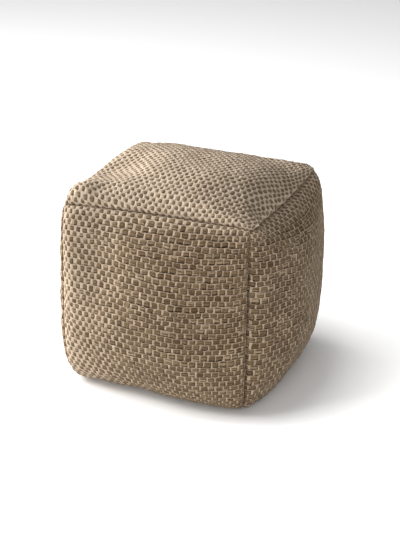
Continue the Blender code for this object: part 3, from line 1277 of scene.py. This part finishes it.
@dataclass(frozen=True)
class Studio:
    """The floor, the light and the camera."""

    floor_size: float = 14.0
    floor_height: float = -0.0004  # just below the pouf, so that the two do not flicker
    floor_colour: tuple = colour(1.18, 1.18, 1.18)  # past white, as an over-lit studio sweep looks
    sky: float = 0.34
    lamps: tuple[Lamp, ...] = (
        Lamp("key", (-2.8, -0.15, 1.5), (1.6, 1.6), 238.0, Lit.POUF),
        Lamp("fill", (1.3, -2.8, 1.3), (1.6, 1.6), 28.0, Lit.POUF),
        Lamp("over", (1.3, -0.6, 2.4), (1.2, 1.2), 6.0, Lit.POUF),
        Lamp("sweep_left", (-1.8, -1.3, 2.3), (1.8, 1.8), 74.0, Lit.FLOOR),
        Lamp("sweep_low", (-2.4, 0.1, 1.9), (1.6, 1.6), 16.0, Lit.FLOOR),
        Lamp("sweep_front", (0.8, -3.0, 1.1), (1.6, 1.6), 34.0, Lit.FLOOR),
        Lamp("sweep_over", (-0.6, 0.0, 2.9), (1.2, 1.2), 44.0, Lit.FLOOR),
    )
    target: Place = (-0.0092, 0.0009, 0.1804)
    turn: float = 23.13  # degrees to the right of the front
    tilt: float = 23.191
    roll: float = -0.628
    distance: float = 2.8058
    scale: float = 540.8  # pixels for each metre at the target
    centre: Pair = (192.682, 272.279)
    frame: tuple[int, int] = (400, 533)

    def floor(self) -> Object:
        """Add the floor.

        Returns:
            The floor.
        """
        bpy.ops.object.select_all(action="DESELECT")
        bpy.ops.mesh.primitive_plane_add(size=self.floor_size, location=(0.0, 0.0, self.floor_height))
        floor = bpy.context.object
        floor.name = "floor"
        material = bpy.data.materials.new("pale_floor")
        material.use_nodes = True
        shader = material.node_tree.nodes["Principled BSDF"]
        shader.inputs["Base Color"].default_value = self.floor_colour
        shader.inputs["Roughness"].default_value = 1.0
        shader.inputs["Specular IOR Level"].default_value = 0.0
        floor.data.materials.append(material)
        return floor

    def light(self, pouf: list[Object], floor: Object) -> None:
        """Add the soft light from all round, and the lamps.

        Args:
            pouf: The panels of the pouf.
            floor: The floor.
        """
        world = bpy.data.worlds.new("studio")
        world.use_nodes = True
        background = world.node_tree.nodes["Background"]
        background.inputs["Color"].default_value = colour(1.0, 1.0, 1.0)
        background.inputs["Strength"].default_value = self.sky
        bpy.context.scene.world = world
        bpy.context.scene.view_settings.view_transform = "Standard"
        groups = {}
        for lit, things in ((Lit.POUF, pouf), (Lit.FLOOR, [floor])):
            groups[lit] = bpy.data.collections.new(f"lit_{lit.value}")
            for thing in things:
                groups[lit].objects.link(thing)
        for lamp in self.lamps:
            data = bpy.data.lights.new(lamp.name, "AREA")
            data.shape = "RECTANGLE"
            data.size, data.size_y = lamp.size
            data.energy = lamp.power
            light = bpy.data.objects.new(lamp.name, data)
            light.location = lamp.place
            aim = Vector(self.target) - Vector(lamp.place)
            light.rotation_euler = aim.to_track_quat("-Z", "Y").to_euler()
            light.light_linking.receiver_collection = groups[lamp.lit]
            bpy.context.scene.collection.objects.link(light)

    def camera(self) -> None:
        """Add the camera, with the frame's pixels taken as square."""
        turn, tilt, roll = (math.radians(angle) for angle in (self.turn, self.tilt, self.roll))
        level = Vector((-math.sin(turn), math.cos(turn), 0.0))
        right = Vector((math.cos(turn), math.sin(turn), 0.0))
        ahead = level * math.cos(tilt) - Vector((0.0, 0.0, math.sin(tilt)))
        above = level * math.sin(tilt) + Vector((0.0, 0.0, math.cos(tilt)))
        rolled_right = right * math.cos(roll) - above * math.sin(roll)
        rolled_above = above * math.cos(roll) + right * math.sin(roll)
        data = bpy.data.cameras.new("camera")
        camera = bpy.data.objects.new("camera", data)
        bpy.context.scene.collection.objects.link(camera)
        place = Matrix((rolled_right, rolled_above, -ahead)).transposed().to_4x4()
        place.translation = Vector(self.target) - ahead * self.distance
        camera.matrix_world = place
        wide, high = self.frame
        data.sensor_width = 36.0
        data.lens = self.scale * self.distance / high * data.sensor_width
        data.shift_x = (wide / 2 - self.centre[0]) / high
        data.shift_y = (self.centre[1] - high / 2) / high
        bpy.context.scene.camera = camera


PANELS = (
    Panel(
        PanelName.FRONT,
        Lay(
            seed=11,
            net=((-1.0, 0.70), (-0.7, 0.55), (-0.4, 0.35), (-0.1, 0.1), (1.0, 0.0)),
            bars=((-1.0, 0.44), (-0.7, 0.37), (-0.4, 0.27), (-0.1, 0.19), (1.0, 0.16)),
            spread=(
                (-1.0, 0.90), (-0.65, 0.91), (-0.4, 0.95), (-0.1, 0.99), (0.2, 0.97), (0.5, 0.91),
                (1.0, 0.87),
            ),
            climb=(
                (-1.0, -0.08), (-0.6, -0.03), (-0.3, 0.0), (0.3, 0.0), (0.5, 0.05), (0.75, 0.11),
                (1.0, 0.15),
            ),
        ),
    ),
    Panel(
        PanelName.RIGHT,
        Lay(
            seed=12,
            bars=((-1.0, 0.16), (1.0, 0.16)),
            spread=((-1.0, 1.15), (-0.75, 1.20), (-0.5, 1.18), (-0.2, 1.04), (0.15, 0.94), (1.0, 0.94)),
            climb=((-1.0, -0.04), (-0.6, -0.10), (-0.3, -0.12), (0.1, 0.0), (0.4, 0.03), (1.0, 0.0)),
        ),
    ),
    Panel(PanelName.BACK, Lay(seed=13)),
    Panel(PanelName.LEFT, Lay(seed=14)),
    Panel(
        PanelName.TOP,
        Lay(
            seed=15,
            warp_pitch=0.00625,
            row_pitch=0.0120,
            net=((-1.0, 1.0), (1.0, 1.0)),
            bars=((-1.0, 0.46), (0.2, 0.42), (1.0, 0.34)),
            lean=-0.16,
            spread=((-1.0, 1.06), (-0.6, 1.0), (0.0, 1.0), (0.4, 0.95), (0.7, 0.92), (1.0, 0.92)),
            stack=((-1.0, 0.76), (-0.75, 0.83), (-0.5, 0.90), (0.0, 0.87), (1.0, 0.85)),
            climb=((-1.0, -0.05), (-0.5, -0.04), (-0.1, 0.06), (0.35, 0.26), (0.6, 0.36), (1.0, 0.38)),
            fan=0.12,
        ),
    ),
    Panel(PanelName.BASE, Lay(seed=16, points_per_warp=4, points_per_row=4)),
)


def main() -> None:
    """Build the pouf's cover, then the studio round it."""
    logging.basicConfig(level=logging.INFO, format="%(message)s")
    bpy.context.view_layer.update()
    low, high = (Vector(corner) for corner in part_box("pouf_body"))
    form = Form(PoufForm(), Vector(((low.x + high.x) / 2, (low.y + high.y) / 2, low.z)))
    Filling().settle(form)
    material = WovenCloth().material()
    pouf = [panel.build(form, material) for panel in PANELS]
    studio = Studio()
    studio.light(pouf, studio.floor())
    studio.camera()


if __name__ == "__main__":
    main()
